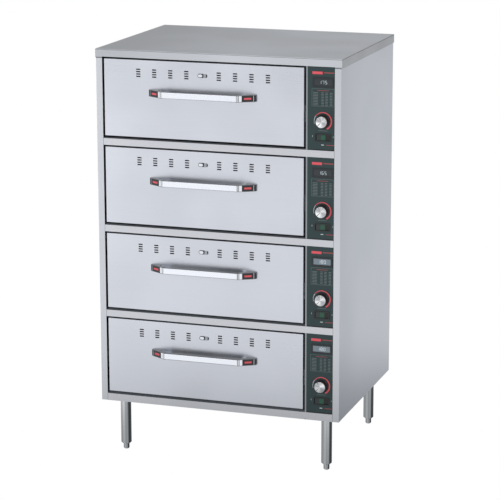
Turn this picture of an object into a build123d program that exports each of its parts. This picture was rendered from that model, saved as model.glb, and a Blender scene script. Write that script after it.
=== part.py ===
"""Free-standing food warmer with a stack of four heated drawers, in stainless sheet on four tube legs.

Frame: X to the right, Y to the back, Z up. The origin is on the floor, under the middle of the whole
outline, which runs from the faces of the pull handles to the back of the top cover.
Drawer 1 is the top one. All sizes are in millimetres.
"""

import math
import os

from build123d import *

# Cabinet outline
body_width = 749.3
body_depth = 574.7
body_height = 1066.8
leg_height = 168.0
drawer_count = 4

# Sheet thicknesses
cover_sheet = 2.4
panel_sheet = 1.2
liner_sheet = 1.0
base_sheet = 1.5

# Face frame
cover_flange = 25.4
stile_width = 19.05
rail_height = 20.0
bottom_rail_height = 22.0
top_band = 22.8
frame_depth = 22.0
control_width = 80.8
mullion_width = 4.4
mullion_recess = 2.0
corner_radius = 1.5

# Insulation
insulation_back = 20.0
insulation_left = 16.85

# Drawer front
gap_side = 5.8
gap_top = 5.0
gap_bottom = 8.0
front_depth = 20.0
front_edge_radius = 1.8

# Vents in the drawer front
vent_drop = 42.7
vent_pitch = 49.4
vents_per_side = 4
slits_per_vent = 4
slit_width = 13.0
slit_height = 3.6
slit_pitch = 6.9
slider_slot_width = 30.0
slider_slot_height = 12.0

# Sliding vent shutter
shutter_sheet = 1.0
shutter_height = 38.0
shutter_margin = 22.0
shutter_clearance = 0.3
shutter_window_width = 13.2
shutter_window_height = 27.0
shutter_button_width = 16.0
shutter_button_height = 11.0
shutter_button_proud = 2.0
guide_wall = 3.0
guide_lip = 4.0

# Pull handle
handle_reach = 35.5
handle_half_length = 163.5
grip_half_length = 112.0
grip_thickness = 9.0
grip_height = 18.6
grip_edge_radius = 2.5
handle_drop = 99.3
end_height = 20.0
end_toe = 4.5
end_shoulder = 8.8
end_shoulder_inset = 5.4
end_foot = 31.5
end_throat = 24.0
end_step = 11.0
badge_length = 38.0
badge_height = 18.0
badge_depth = 1.0
badge_proud = 0.3
badge_margin = 1.0
groove_width = 1.6
groove_depth = 0.9
groove_pitch = 4.2
groove_count = 2

# Drawer body and pan
box_back_clearance = 39.9
box_bottom = 20.0
box_top_drop = 52.5
box_sheet = 1.2
plate_inset = 0.4
vent_window_bottom = 1.0
vent_window_height = 25.0
pan_rim_length = 530.0
pan_rim_width = 325.0
pan_rim = 11.0
pan_depth = 150.0
pan_taper = 12.0
pan_corner = 40.0
pan_sheet = 1.0
pan_floor_bevel = 9.0
pan_clearance = 1.5

# Three-part telescopic slides
slide_setback = 2.0
slide_end_clearance = 8.0
slide_height = 45.0
slide_thickness = 12.7
slide_sheet = 1.2
slide_clearance = 0.3
slide_rise = 100.0
middle_offset = 4.2
inner_lap = 5.7

# Strip heating elements
heater_count = 2
heater_width = 38.0
heater_thickness = 8.0
heater_spacing = 220.0
heater_lift = 3.0
heater_left_gap = 60.0
heater_tail = 16.0
heater_foot_length = 20.0
heater_foot_inset = 70.0
heater_hole_clearance = 1.5

# Control panel
control_recess = 3.0
control_sheet = 1.5
control_axis_offset = 45.6
knob_rise = 84.1
display_rise = 195.5
switch_rise = 37.0

# Display
display_bezel_width = 62.0
display_bezel_height = 28.0
display_bezel_proud = 1.5
display_glass_width = 52.0
display_glass_height = 18.0
display_glass_recess = 0.7
display_body_width = 55.0
display_body_height = 21.0
display_body_depth = 22.0

# Rocker switch
switch_bezel_width = 47.0
switch_bezel_height = 23.0
switch_bezel_proud = 2.0
switch_body_width = 44.0
switch_body_height = 19.5
switch_body_depth = 24.0
rocker_width = 40.0
rocker_height = 15.6
rocker_clearance = 0.5
rocker_depth = 9.0
rocker_pivot_depth = 5.0
rocker_angle = 12.0

# Thermostat and knob
thermostat_side = 42.0
thermostat_depth = 30.0
spindle_diameter = 6.0
spindle_clearance = 0.1
spindle_tail = 12.0
knob_height = 18.0
knob_diameter = 34.0
knob_flats = 24
knob_skirt_diameter = 40.0
knob_skirt_height = 4.0
knob_gap = 0.5
knob_cap_diameter = 31.0
knob_cap_thickness = 0.6
knob_draft = 2.0
pointer_width = 1.8
pointer_depth = 0.3
pointer_angle = 225.0

# Back ventilation
louvre_width = 54.0
louvre_height = 5.0
louvre_pitch = 11.0
louvre_count = 6

# Legs and levelling feet
leg_inset_side = 56.0
leg_inset_front = 60.0
leg_inset_back = 45.0
leg_plate_side = 82.0
leg_plate_thickness = 3.0
leg_tube_diameter = 31.75
leg_tube_wall = 1.5
leg_plug_height = 26.0
leg_end_chamfer = 3.0
foot_height = 18.5
foot_diameter = 18.0
foot_bevel = 2.5
foot_stem_diameter = 12.0
foot_stem_length = 20.0
foot_stem_clearance = 0.1

# Places that follow from the sizes above
half_width = body_width / 2
face_y = (handle_reach - body_depth) / 2
back_y = face_y + body_depth
base_z = leg_height
top_z = base_z + body_height
cover_under = top_z - cover_sheet
side_outer = half_width - cover_sheet
side_inner = side_outer - panel_sheet
opening_x = side_outer - stile_width
rails_between = (drawer_count - 1) * rail_height
opening_height = (body_height - top_band - bottom_rail_height - rails_between) / drawer_count
pitch = opening_height + rail_height
first_opening = base_z + bottom_rail_height
opening_top = top_z - top_band
frame_back = face_y + frame_depth
control_left = opening_x - control_width
drawer_right = control_left - mullion_width
liner_left = -side_inner + insulation_left
liner_right = drawer_right + liner_sheet + 0.6
liner_drop = 2.0
back_outer = back_y - cover_sheet
back_inner = back_outer - panel_sheet
liner_back = back_inner - insulation_back
roof_z = opening_top + panel_sheet
wall_left = liner_left + liner_sheet
wall_right = liner_right - liner_sheet
box_left = wall_left + slide_thickness
box_right = wall_right - slide_thickness
front_left = -opening_x + gap_side
front_right = drawer_right - gap_side
drawer_x = (front_left + front_right) / 2
front_back = face_y + front_depth
box_front = front_back + box_sheet
box_depth = liner_back - box_front - box_back_clearance
box_top = opening_height - box_top_drop
slide_front = box_front + slide_setback
slide_length = box_depth - slide_setback - slide_end_clearance
control_x = control_left + control_axis_offset
control_face = face_y + control_recess
control_back = control_face + control_sheet
axis_plane = Plane.YZ.offset(drawer_x)


def opening_bottom(number):
    """Height of the bottom of one drawer's opening. Drawer 1 is the top one."""
    return first_opening + (drawer_count - number) * pitch


def block(x0, x1, y0, y1, z0, z1):
    """Rectangular solid between two corners."""
    return Pos((x0 + x1) / 2, (y0 + y1) / 2, (z0 + z1) / 2) * Box(x1 - x0, y1 - y0, z1 - z0)


def centred_block(x, z, width, height, y0, y1):
    """Rectangular solid centred on a point of the cabinet's face."""
    return block(x - width / 2, x + width / 2, y0, y1, z - height / 2, z + height / 2)


def rod_y(x, z, diameter, y0, y1):
    """Round solid that runs front to back."""
    return Pos(x, (y0 + y1) / 2, z) * Rot(90, 0, 0) * Cylinder(diameter / 2, y1 - y0)


def rod_z(x, y, diameter, z0, z1):
    """Upright round solid."""
    return Pos(x, y, (z0 + z1) / 2) * Cylinder(diameter / 2, z1 - z0)


def obround_y(x, z, width, height, y0, y1):
    """Solid with a round-ended outline that runs front to back."""
    outline = Plane(origin=(x, y0, z), x_dir=(1, 0, 0), z_dir=(0, 1, 0)) * SlotOverall(width, height)
    return extrude(outline, y1 - y0)


def top_cover():
    """Top sheet with hemmed flanges turned down all round. The front flange is the cabinet's top rail."""
    outer = block(-half_width, half_width, face_y, back_y, top_z - cover_flange, top_z)
    outer = fillet(outer.edges().filter_by(Axis.Z), corner_radius)
    outer = fillet(outer.faces().sort_by(Axis.Z)[-1].edges(), corner_radius)
    skirt_z = top_z - cover_flange
    inside = block(-side_outer, side_outer, face_y + cover_sheet, back_outer, skirt_z, cover_under)
    below_band = block(-side_outer, side_outer, face_y, face_y + cover_sheet, skirt_z, opening_top)
    return outer - inside - below_band


def side_panel():
    """Right side sheet, folded in at the front to make the stile and back again to line the opening."""
    wall = block(side_inner, side_outer, face_y, back_outer, base_z, cover_under)
    stile = block(opening_x, side_outer, face_y, face_y + panel_sheet, base_z, cover_under)
    lining = block(opening_x, opening_x + panel_sheet, face_y, frame_back, base_z, cover_under)
    panel = wall + stile + lining
    corner = panel.edges().filter_by(Axis.Z).group_by(Axis.Y)[0].sort_by(Axis.X)[-1]
    panel = fillet(corner, corner_radius / 2)
    notch = block(opening_x, side_outer, face_y, face_y + cover_sheet, opening_top, cover_under)
    return panel - notch


def left_side_panel():
    """Left side sheet, the mirror image of the right one."""
    return mirror(side_panel(), about=Plane.YZ)


def back_panel():
    """Back sheet between the side sheets, with a group of slots behind each control."""
    panel = block(-side_inner, side_inner, back_inner, back_outer, base_z, cover_under)
    for number in range(1, drawer_count + 1):
        middle = opening_bottom(number) + opening_height / 2
        for row in range(louvre_count):
            z = middle + (row - (louvre_count - 1) / 2) * louvre_pitch
            panel -= centred_block(control_x, z, louvre_width, louvre_height, back_inner, back_outer)
    return panel


def base_pan():
    """Floor sheet with upturned edges. The legs bolt to its underside."""
    rim = bottom_rail_height - liner_drop - liner_sheet
    outer = block(-side_inner, side_inner, frame_back, back_inner, base_z, base_z + rim)
    inner = block(
        -side_inner + panel_sheet,
        side_inner - panel_sheet,
        frame_back,
        back_inner - panel_sheet,
        base_z + base_sheet,
        base_z + rim,
    )
    return outer - inner


def rail(z0, z1, y0):
    """Cross rail: a channel with its web forward and its two legs turned back."""
    web = block(-opening_x, opening_x, y0, y0 + panel_sheet, z0, z1)
    upper = block(-opening_x, opening_x, y0, frame_back, z1 - panel_sheet, z1)
    lower = block(-opening_x, opening_x, y0, frame_back, z0, z0 + panel_sheet)
    return web + upper + lower


def front_frame():
    """Cross rails between the stiles, joined by the upright bar between drawer and control panel."""
    frame = rail(base_z, first_opening, face_y)
    frame += rail(opening_top, cover_under, face_y + cover_sheet)
    for number in range(1, drawer_count):
        frame += rail(opening_bottom(number) - rail_height, opening_bottom(number), face_y)
    for number in range(1, drawer_count + 1):
        z = opening_bottom(number)
        frame += block(drawer_right, control_left, face_y + mullion_recess, frame_back, z, z + opening_height)
    return frame


def heater_places():
    """Depths of the middle of each strip heater."""
    middle = (frame_back + liner_back) / 2
    return [middle + (n - (heater_count - 1) / 2) * heater_spacing for n in range(heater_count)]


def cell_liner(number):
    """Heated compartment of one drawer: a floor and two walls folded from one sheet."""
    floor_top = opening_bottom(number) - liner_drop
    floor_z = floor_top - liner_sheet
    wall_top = roof_z if number == 1 else floor_z + pitch
    outer = block(liner_left, liner_right, frame_back, liner_back, floor_z, wall_top)
    inner = block(wall_left, wall_right, frame_back, liner_back, floor_top, wall_top)
    liner = outer - inner
    half = heater_width / 2 + heater_hole_clearance
    z0 = floor_top + heater_lift - heater_hole_clearance
    z1 = floor_top + heater_lift + heater_thickness + heater_hole_clearance
    for y in heater_places():
        liner -= block(wall_right, liner_right, y - half, y + half, z0, z1)
    return liner


def insulation():
    """Wool slabs in the left wall, in the back wall and under the top cover."""
    floor_z = base_z + bottom_rail_height - liner_drop - liner_sheet
    left = block(-side_inner, liner_left, frame_back, back_inner, floor_z, roof_z)
    back = block(liner_left, liner_right, liner_back, back_inner, floor_z, roof_z)
    roof = block(-side_inner, liner_right, frame_back, back_inner, roof_z, cover_under)
    return Compound(children=[left, back, roof])


def heating_element(number):
    """Two flat strip heaters on feet under the drawer. Their ends pass through the wall to the controls."""
    floor_top = opening_bottom(number) - liner_drop
    x0 = wall_left + heater_left_gap
    x1 = liner_right + heater_tail
    z0 = floor_top + heater_lift
    strips = []
    for y in heater_places():
        y0 = y - heater_width / 2
        y1 = y + heater_width / 2
        strip = block(x0, x1, y0, y1, z0, z0 + heater_thickness)
        for x in (x0 + heater_foot_inset, wall_right - heater_foot_inset):
            strip += block(x - heater_foot_length / 2, x + heater_foot_length / 2, y0, y1, floor_top, z0)
        strips.append(strip)
    return strips


def channel(wall_x, side, offset, reach, height, z, web_at_wall):
    """One slide member: a channel run front to back, its offsets measured from the wall it stands on."""
    y0 = slide_front
    y1 = slide_front + slide_length

    def slab(near, far, z0, z1):
        ends = sorted((wall_x + side * near, wall_x + side * far))
        return block(ends[0], ends[1], y0, y1, z0, z1)

    web_near = offset if web_at_wall else reach - slide_sheet
    section = slab(web_near, web_near + slide_sheet, z - height / 2, z + height / 2)
    section += slab(offset, reach, z + height / 2 - slide_sheet, z + height / 2)
    section += slab(offset, reach, z - height / 2, z - height / 2 + slide_sheet)
    return section


middle_height = slide_height - 2 * (slide_sheet + slide_clearance)
inner_height = middle_height - 2 * (slide_sheet + slide_clearance)
middle_reach = slide_thickness - slide_sheet - slide_clearance


def slide_pair(number, offset, reach, height, web_at_wall):
    """The same slide member on both sides of one drawer."""
    z = opening_bottom(number) + slide_rise
    left = channel(wall_left, 1, offset, reach, height, z, web_at_wall)
    right = channel(wall_right, -1, offset, reach, height, z, web_at_wall)
    return [left, right]


def slide_outer(number):
    """Fixed members, screwed to the compartment's walls."""
    return slide_pair(number, 0, middle_reach, slide_height, True)


def slide_middle(number):
    """Middle members, which run out half as far as the drawer."""
    return slide_pair(number, middle_offset, middle_reach, middle_height, True)


def slide_inner(number):
    """Members on the drawer's sides."""
    return slide_pair(number, slide_thickness - inner_lap, slide_thickness, inner_height, False)


def vent_z(number):
    """Height of the row of vents in one drawer front."""
    return opening_bottom(number) + opening_height - vent_drop


def vent_centres():
    """Places of the vents along the drawer front, four on each side of the slider."""
    steps = [n for n in range(-vents_per_side, vents_per_side + 1) if n]
    return [drawer_x + n * vent_pitch for n in steps]


def shutter_span():
    """Half length of the shutter plate."""
    return vents_per_side * vent_pitch + slit_width / 2 + shutter_margin


def drawer_front(number):
    """Folded drawer front with its vents, the slider's slot and the guides that hold the shutter."""
    z0 = opening_bottom(number) + gap_bottom
    z1 = opening_bottom(number) + opening_height - gap_top
    outer = block(front_left, front_right, face_y, front_back, z0, z1)
    outer = fillet(outer.faces().sort_by(Axis.Y)[0].edges(), front_edge_radius)
    inner = block(
        front_left + panel_sheet,
        front_right - panel_sheet,
        face_y + panel_sheet,
        front_back,
        z0 + panel_sheet,
        z1 - panel_sheet,
    )
    front = outer - inner
    z = vent_z(number)
    back = face_y + panel_sheet
    slits = []
    for x in vent_centres():
        for row in range(slits_per_vent):
            slit_z = z + (row - (slits_per_vent - 1) / 2) * slit_pitch
            slits.append(centred_block(x, slit_z, slit_width, slit_height, face_y, back))
    slits.append(obround_y(drawer_x, z, slider_slot_width, slider_slot_height, face_y, back))
    front -= slits
    lip_front = back + 2 * shutter_clearance + shutter_sheet
    lip_back = lip_front + shutter_sheet
    x0 = drawer_x - shutter_span()
    x1 = drawer_x + shutter_span()
    for way in (1, -1):
        edge = z + way * (shutter_height / 2 + shutter_clearance)
        outside = edge + way * guide_wall
        lip = edge - way * guide_lip
        front += block(x0, x1, back, lip_back, min(edge, outside), max(edge, outside))
        front += block(x0, x1, lip_front, lip_back, min(lip, outside), max(lip, outside))
    return front


def slider_travel():
    """How far the button can move along its slot."""
    return slider_slot_width - shutter_button_width - 2 * shutter_clearance


def vent_shutter(number):
    """Plate behind the vents with one window for each vent, and the button that slides it shut."""
    z = vent_z(number)
    y0 = face_y + panel_sheet + shutter_clearance
    y1 = y0 + shutter_sheet
    span = shutter_span() - slider_travel()
    plate = block(drawer_x - span, drawer_x + span, y0, y1, z - shutter_height / 2, z + shutter_height / 2)
    for x in vent_centres():
        plate -= centred_block(x, z, shutter_window_width, shutter_window_height, y0, y1)
    button_x = drawer_x - slider_travel() / 2
    button = obround_y(
        button_x, z, shutter_button_width, shutter_button_height, face_y - shutter_button_proud, y0
    )
    return plate + button


def handle_z(number):
    """Height of the middle of the pull handle."""
    return opening_bottom(number) + opening_height - handle_drop


def handle_grip(number):
    """Straight bar of the pull handle."""
    bar = block(
        drawer_x - grip_half_length,
        drawer_x + grip_half_length,
        face_y - handle_reach,
        face_y - handle_reach + grip_thickness,
        handle_z(number) - grip_height / 2,
        handle_z(number) + grip_height / 2,
    )
    return fillet(bar.edges().filter_by(Axis.X), grip_edge_radius)


def handle_ends(number):
    """The two sloping end castings, and the badge plate let into each."""
    z = handle_z(number)
    end_x = drawer_x + handle_half_length
    shoulder = (end_x - end_shoulder_inset, face_y - end_shoulder)
    knee = (drawer_x + grip_half_length, face_y - handle_reach)
    outline = Polyline(
        (end_x, face_y),
        (end_x, face_y - end_toe),
        shoulder,
        knee,
        (knee[0], face_y - end_throat),
        (end_x - end_foot, face_y - end_step),
        (end_x - end_foot, face_y),
        close=True,
    )
    casting = extrude(Plane.XY.offset(z - end_height / 2) * make_face(outline), end_height)
    run = (knee[0] - shoulder[0], knee[1] - shoulder[1])
    slope = math.hypot(*run)
    heading = math.degrees(math.atan2(run[1], run[0]))

    def on_slope(distance, length, depth, height, out):
        """Block on the sloping face, a distance along it from the shoulder, let in by a depth."""
        x = shoulder[0] + run[0] * distance / slope
        y = shoulder[1] + run[1] * distance / slope
        at = Pos(x, y, z) * Rot(0, 0, heading)
        return at * block(-length / 2, length / 2, -depth, out, -height / 2, height / 2)

    badge_at = badge_margin + badge_length / 2
    casting -= on_slope(badge_at, badge_length, badge_depth, badge_height, badge_depth)
    for groove in range(1, groove_count + 1):
        groove_at = slope - groove * groove_pitch
        casting -= on_slope(groove_at, groove_width, groove_depth, end_height, groove_depth)
    badge = on_slope(badge_at, badge_length, badge_depth, badge_height, badge_proud)
    pair = [casting, badge]
    return pair + [mirror(piece, about=axis_plane) for piece in pair]


def drawer_box(number):
    """Drawer body: the plate behind the front, two sides, a back and the deck that the pan hangs in."""
    z = opening_bottom(number)
    plate = block(
        front_left + plate_inset,
        front_right - plate_inset,
        front_back,
        box_front,
        z + gap_bottom + plate_inset,
        z + opening_height - gap_top - plate_inset,
    )
    outer = block(box_left, box_right, front_back, box_front + box_depth, z + box_bottom, z + box_top)
    inner = block(
        box_left + box_sheet,
        box_right - box_sheet,
        box_front,
        box_front + box_depth - box_sheet,
        z + box_bottom,
        z + box_top - box_sheet,
    )
    length = pan_rim_length - 2 * pan_rim + 2 * pan_clearance
    width = pan_rim_width - 2 * pan_rim + 2 * pan_clearance
    centre_y = box_front + box_depth / 2
    deck_under = Pos(drawer_x, centre_y, z + box_top - box_sheet)
    cutout = extrude(deck_under * RectangleRounded(length, width, pan_corner), box_sheet)
    vent_x = vents_per_side * vent_pitch + slit_width
    window = block(
        drawer_x - vent_x,
        drawer_x + vent_x,
        front_back,
        box_front,
        z + box_top + vent_window_bottom,
        z + box_top + vent_window_bottom + vent_window_height,
    )
    return plate + (outer - inner) - cutout - window


def pan_shape(number, wall):
    """Tapered tub of the pan, drawn in from its outside by a wall thickness."""
    top = opening_bottom(number) + box_top
    length = pan_rim_length - 2 * pan_rim - 2 * wall
    width = pan_rim_width - 2 * pan_rim - 2 * wall
    mouth = Pos(drawer_x, box_front + box_depth / 2, top) * RectangleRounded(length, width, pan_corner - wall)
    draft = math.degrees(math.atan(pan_taper / pan_depth))
    tub = extrude(mouth, pan_depth - wall, dir=(0, 0, -1), taper=draft)
    return chamfer(tub.faces().sort_by(Axis.Z)[0].edges(), pan_floor_bevel - wall)


def drawer_pan(number):
    """Full-size food pan, 530 x 325 x 150, that hangs in the deck by its rim and lifts out."""
    top = opening_bottom(number) + box_top
    at = Pos(drawer_x, box_front + box_depth / 2, top)
    rim = extrude(at * RectangleRounded(pan_rim_length, pan_rim_width, pan_corner + pan_rim), pan_sheet)
    inner = pan_shape(number, pan_sheet)
    mouth = extrude(inner.faces().sort_by(Axis.Z)[-1], pan_sheet)
    return pan_shape(number, 0) + rim - inner - mouth


def control_panel(number):
    """Panel that fills the opening beside the drawer, with its cut-outs."""
    z = opening_bottom(number)
    panel = block(control_left, opening_x, control_face, control_back, z, z + opening_height)
    cuts = [
        centred_block(
            control_x, z + display_rise, display_body_width, display_body_height, control_face, control_back
        ),
        centred_block(
            control_x, z + switch_rise, switch_body_width, switch_body_height, control_face, control_back
        ),
        rod_y(control_x, z + knob_rise, spindle_diameter + 2 * spindle_clearance, control_face, control_back),
    ]
    return panel - cuts


def display_window(number):
    """Temperature display: bezel, sunk window and the case behind the panel."""
    z = opening_bottom(number) + display_rise
    bezel_face = control_face - display_bezel_proud
    bezel = centred_block(
        control_x, z, display_bezel_width, display_bezel_height, bezel_face, control_face
    )
    case = centred_block(
        control_x, z, display_body_width, display_body_height, control_face, control_back + display_body_depth
    )
    window = centred_block(
        control_x, z, display_glass_width, display_glass_height, bezel_face, bezel_face + display_glass_recess
    )
    return bezel + case - window


def switch_housing(number):
    """Rocker switch's bezel and case, with the well that the rocker tips in."""
    z = opening_bottom(number) + switch_rise
    bezel_face = control_face - switch_bezel_proud
    bezel = centred_block(control_x, z, switch_bezel_width, switch_bezel_height, bezel_face, control_face)
    case = centred_block(
        control_x, z, switch_body_width, switch_body_height, control_face, control_back + switch_body_depth
    )
    well = centred_block(
        control_x,
        z,
        rocker_width + 2 * rocker_clearance,
        rocker_height + 2 * rocker_clearance,
        bezel_face,
        bezel_face + rocker_depth + 2 * rocker_clearance + rocker_pivot_depth,
    )
    return bezel + case - well


def rocker(number):
    """Rocker with two sloping halves, tipped to its left side at rest. It turns about an upright pivot."""
    z = opening_bottom(number) + switch_rise
    pivot_y = control_face - switch_bezel_proud + rocker_pivot_depth
    half = rocker_width / 2
    tilt = math.tan(math.radians(rocker_angle))
    crest = rocker_pivot_depth
    wing = crest - half * tilt / 2
    outline = Polyline(
        (-half + crest * tilt, -wing),
        (0, -crest + half * tilt / 2),
        (half - crest * tilt, -wing),
        (half - crest, rocker_pivot_depth),
        (-half + crest, rocker_pivot_depth),
        close=True,
    )
    body = extrude(Plane.XY.offset(-rocker_height / 2) * make_face(outline), rocker_height)
    return Pos(control_x, pivot_y, z) * Rot(0, 0, rocker_angle / 2) * body


def thermostat(number):
    """Thermostat case behind the panel, with the bore that its spindle turns in."""
    z = opening_bottom(number) + knob_rise
    case = centred_block(
        control_x, z, thermostat_side, thermostat_side, control_back, control_back + thermostat_depth
    )
    bore_end = control_back + spindle_tail + spindle_clearance
    return case - rod_y(control_x, z, spindle_diameter + 2 * spindle_clearance, control_back, bore_end)


def knob(number):
    """Control knob: a ribbed grip on a round skirt, a turned cap with a pointer line, and the spindle."""
    z = opening_bottom(number) + knob_rise
    back = control_face - knob_gap
    step = back - knob_skirt_height
    front = control_face - knob_height
    cap_face = front - knob_cap_thickness
    outline = Plane(origin=(control_x, step, z), x_dir=(1, 0, 0), z_dir=(0, -1, 0))
    grip_shape = outline * RegularPolygon(knob_diameter / 2, knob_flats)
    grip = extrude(grip_shape, step - front, taper=knob_draft)
    body = grip + rod_y(control_x, z, knob_skirt_diameter, step, back)
    cap = rod_y(control_x, z, knob_cap_diameter, cap_face, front)
    groove = Pos(control_x, 0, z) * Rot(0, -pointer_angle, 0) * block(
        0, knob_cap_diameter / 2, cap_face, cap_face + pointer_depth, -pointer_width / 2, pointer_width / 2
    )
    spindle = rod_y(control_x, z, spindle_diameter, back, control_back + spindle_tail)
    return [body, cap - groove, spindle]


def leg_places():
    """The four leg positions, with a name for each."""
    front = face_y + leg_inset_front
    back = back_y - leg_inset_back
    side = half_width - leg_inset_side
    return {
        "front_left": (-side, front),
        "front_right": (side, front),
        "back_left": (-side, back),
        "back_right": (side, back),
    }


def leg(x, y):
    """Tube leg with its bolting plate at the top and a threaded end plug at the bottom."""
    plate_z = base_z - leg_plate_thickness
    half = leg_plate_side / 2
    plate = block(x - half, x + half, y - half, y + half, plate_z, base_z)
    tube = rod_z(x, y, leg_tube_diameter, foot_height, plate_z)
    tube = chamfer(tube.faces().sort_by(Axis.Z)[0].edges(), leg_end_chamfer)
    hollow = rod_z(x, y, leg_tube_diameter - 2 * leg_tube_wall, foot_height + leg_plug_height, plate_z)
    thread = rod_z(
        x, y, foot_stem_diameter + 2 * foot_stem_clearance, foot_height, foot_height + leg_plug_height
    )
    return plate + tube - hollow - thread


def levelling_foot(x, y):
    """Screw-in foot: bevelled pad and stem."""
    pad = rod_z(x, y, foot_diameter, 0, foot_height)
    pad = chamfer(pad.faces().sort_by(Axis.Z)[0].edges(), foot_bevel)
    return pad + rod_z(x, y, foot_stem_diameter, foot_height, foot_height + foot_stem_length)


def save(name, shape):
    """Write one named piece, or one group of like pieces, to its own file."""
    if isinstance(shape, list):
        shape = Compound(children=[solid for piece in shape for solid in piece.solids()])
    export_step(shape, f"parts/{name}.step")


def build():
    """Make every piece and write it."""
    os.makedirs("parts", exist_ok=True)
    numbers = range(1, drawer_count + 1)
    save("top_cover", top_cover())
    save("side_panel_left", left_side_panel())
    save("side_panel_right", side_panel())
    save("back_panel", back_panel())
    save("base_pan", base_pan())
    save("front_frame", front_frame())
    save("cell_liners", [cell_liner(n) for n in numbers])
    save("insulation", insulation())
    save("heating_elements", [strip for n in numbers for strip in heating_element(n)])
    save("slide_outers", [piece for n in numbers for piece in slide_outer(n)])
    save("control_panels", [control_panel(n) for n in numbers])
    save("display_windows", [display_window(n) for n in numbers])
    save("switch_housings", [switch_housing(n) for n in numbers])
    save("thermostats", [thermostat(n) for n in numbers])
    save("legs", [leg(x, y) for x, y in leg_places().values()])
    for name, (x, y) in leg_places().items():
        save(f"foot_{name}", levelling_foot(x, y))
    for n in numbers:
        save(f"drawer_front_{n}", drawer_front(n))
        save(f"drawer_box_{n}", drawer_box(n))
        save(f"drawer_pan_{n}", drawer_pan(n))
        save(f"vent_shutter_{n}", vent_shutter(n))
        save(f"handle_grip_{n}", handle_grip(n))
        save(f"handle_ends_{n}", handle_ends(n))
        save(f"slide_middle_{n}", slide_middle(n))
        save(f"slide_inner_{n}", slide_inner(n))
        save(f"knob_{n}", knob(n))
        save(f"rocker_{n}", rocker(n))


build()
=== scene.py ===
import math

import bmesh
import bpy
from mathutils import Euler, Matrix, Vector


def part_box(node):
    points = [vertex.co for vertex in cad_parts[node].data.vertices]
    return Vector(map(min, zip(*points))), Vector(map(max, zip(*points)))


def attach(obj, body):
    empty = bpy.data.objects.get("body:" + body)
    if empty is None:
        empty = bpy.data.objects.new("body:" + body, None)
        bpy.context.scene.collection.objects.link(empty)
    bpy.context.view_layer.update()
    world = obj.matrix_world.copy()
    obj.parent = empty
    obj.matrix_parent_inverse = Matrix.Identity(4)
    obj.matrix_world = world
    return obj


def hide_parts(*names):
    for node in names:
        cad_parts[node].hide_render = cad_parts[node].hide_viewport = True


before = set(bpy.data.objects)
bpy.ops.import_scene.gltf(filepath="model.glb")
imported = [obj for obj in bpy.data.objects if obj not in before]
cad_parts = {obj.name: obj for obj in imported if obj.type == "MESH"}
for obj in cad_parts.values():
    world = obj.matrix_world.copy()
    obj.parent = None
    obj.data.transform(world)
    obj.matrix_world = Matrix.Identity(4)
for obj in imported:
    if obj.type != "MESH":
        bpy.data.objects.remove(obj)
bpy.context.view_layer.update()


# Camera. It stands in front of the warmer, to the right of it and above it, and looks slightly down.
# Its place and its long lens come from a fit to the warmer's corners and feet.
camera_place = (2.0154, -6.0282, 2.0929)
camera_turn = 18.395
camera_dip = 13.23
camera_roll = -0.098
camera_lens = 154.5
camera_sensor = 36.0
camera_reach = 60.0

camera_data = bpy.data.cameras.new("camera")
camera_data.lens = camera_lens
camera_data.sensor_width = camera_sensor
camera_data.clip_end = camera_reach
camera = bpy.data.objects.new("camera", camera_data)
camera.location = camera_place
look = Euler((math.radians(90.0 - camera_dip), 0.0, math.radians(camera_turn)), "XYZ").to_matrix()
camera.rotation_euler = (look @ Matrix.Rotation(math.radians(camera_roll), 3, "Z")).to_euler()
bpy.context.scene.collection.objects.link(camera)
bpy.context.scene.camera = camera
bpy.context.scene.view_settings.view_transform = "Standard"


# Studio. A wide pale floor under a soft pale room. The steel mirrors them as grey by the feet and
# paler further out, and the camera sees both as plain white.
x_axis, y_axis, z_axis = 0, 1, 2
floor_half = 15.0
floor_near_radius = 0.4
floor_far_radius = 1.5
floor_near = 0.40
floor_far = 1.02
horizon_height = 0.15
ceiling_height = 0.9
horizon_level = 0.48
ceiling_level = 0.80
room_tint = (0.97, 0.98, 1.0, 1.0)
white = (1.0, 1.0, 1.0, 1.0)


class Value:
    """One socket of a node. A sum or comparison on it adds the Math node that works it out."""

    def __init__(self, nodes, socket):
        self.nodes = nodes
        self.socket = socket

    def __add__(self, other):
        return self.nodes.math("ADD", self, other)

    def __radd__(self, other):
        return self.nodes.math("ADD", other, self)

    def __sub__(self, other):
        return self.nodes.math("SUBTRACT", self, other)

    def __rsub__(self, other):
        return self.nodes.math("SUBTRACT", other, self)

    def __mul__(self, other):
        return self.nodes.math("MULTIPLY", self, other)

    def __rmul__(self, other):
        return self.nodes.math("MULTIPLY", other, self)

    def __mod__(self, other):
        return self.nodes.math("FLOORED_MODULO", self, other)

    def __rmod__(self, other):
        return self.nodes.math("FLOORED_MODULO", other, self)

    def __gt__(self, other):
        return self.nodes.math("GREATER_THAN", self, other)

    def __lt__(self, other):
        return self.nodes.math("LESS_THAN", self, other)

    def __abs__(self):
        return self.nodes.math("ABSOLUTE", self)


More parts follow.
